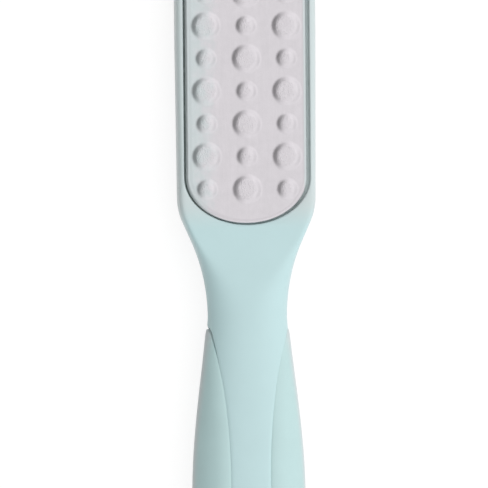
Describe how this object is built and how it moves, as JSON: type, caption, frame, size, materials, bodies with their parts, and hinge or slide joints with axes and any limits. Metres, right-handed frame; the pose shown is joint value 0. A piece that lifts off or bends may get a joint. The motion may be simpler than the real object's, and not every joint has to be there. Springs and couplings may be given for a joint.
{
  "type": "foot file",
  "caption": "Two-sided paddle foot file: embossed metal rasp plate, fine abrasive on the back, waisted neck and flared handle with soft side grips and a hanging hole.",
  "frame": {"origin": "on the surface that the file lies on, below the middle of its length and width", "axes": "+Z out of the rasp plate, +Y along the file towards the end of its head, +X to the right as the rasp plate is looked at with the head up"},
  "size_m": [0.0426, 0.245, 0.018],
  "materials": {
    "body": "satin",
    "grip": "matt, soft-touch",
    "plate": "satin, etched on the bosses",
    "tape": "matt foam",
    "abrasive": "fine grit",
    "pad": "matt foam",
    "film": "clear adhesive"
  },
  "bodies": {
    "root": {"front_shell": "body", "back_shell": "body", "left_grip": "grip", "right_grip": "grip", "rasp_plate": "plate", "rasp_tape": "tape", "fine_sheet": "abrasive", "fine_pad": "pad", "fine_film": "film"}
  },
  "joints": []
}
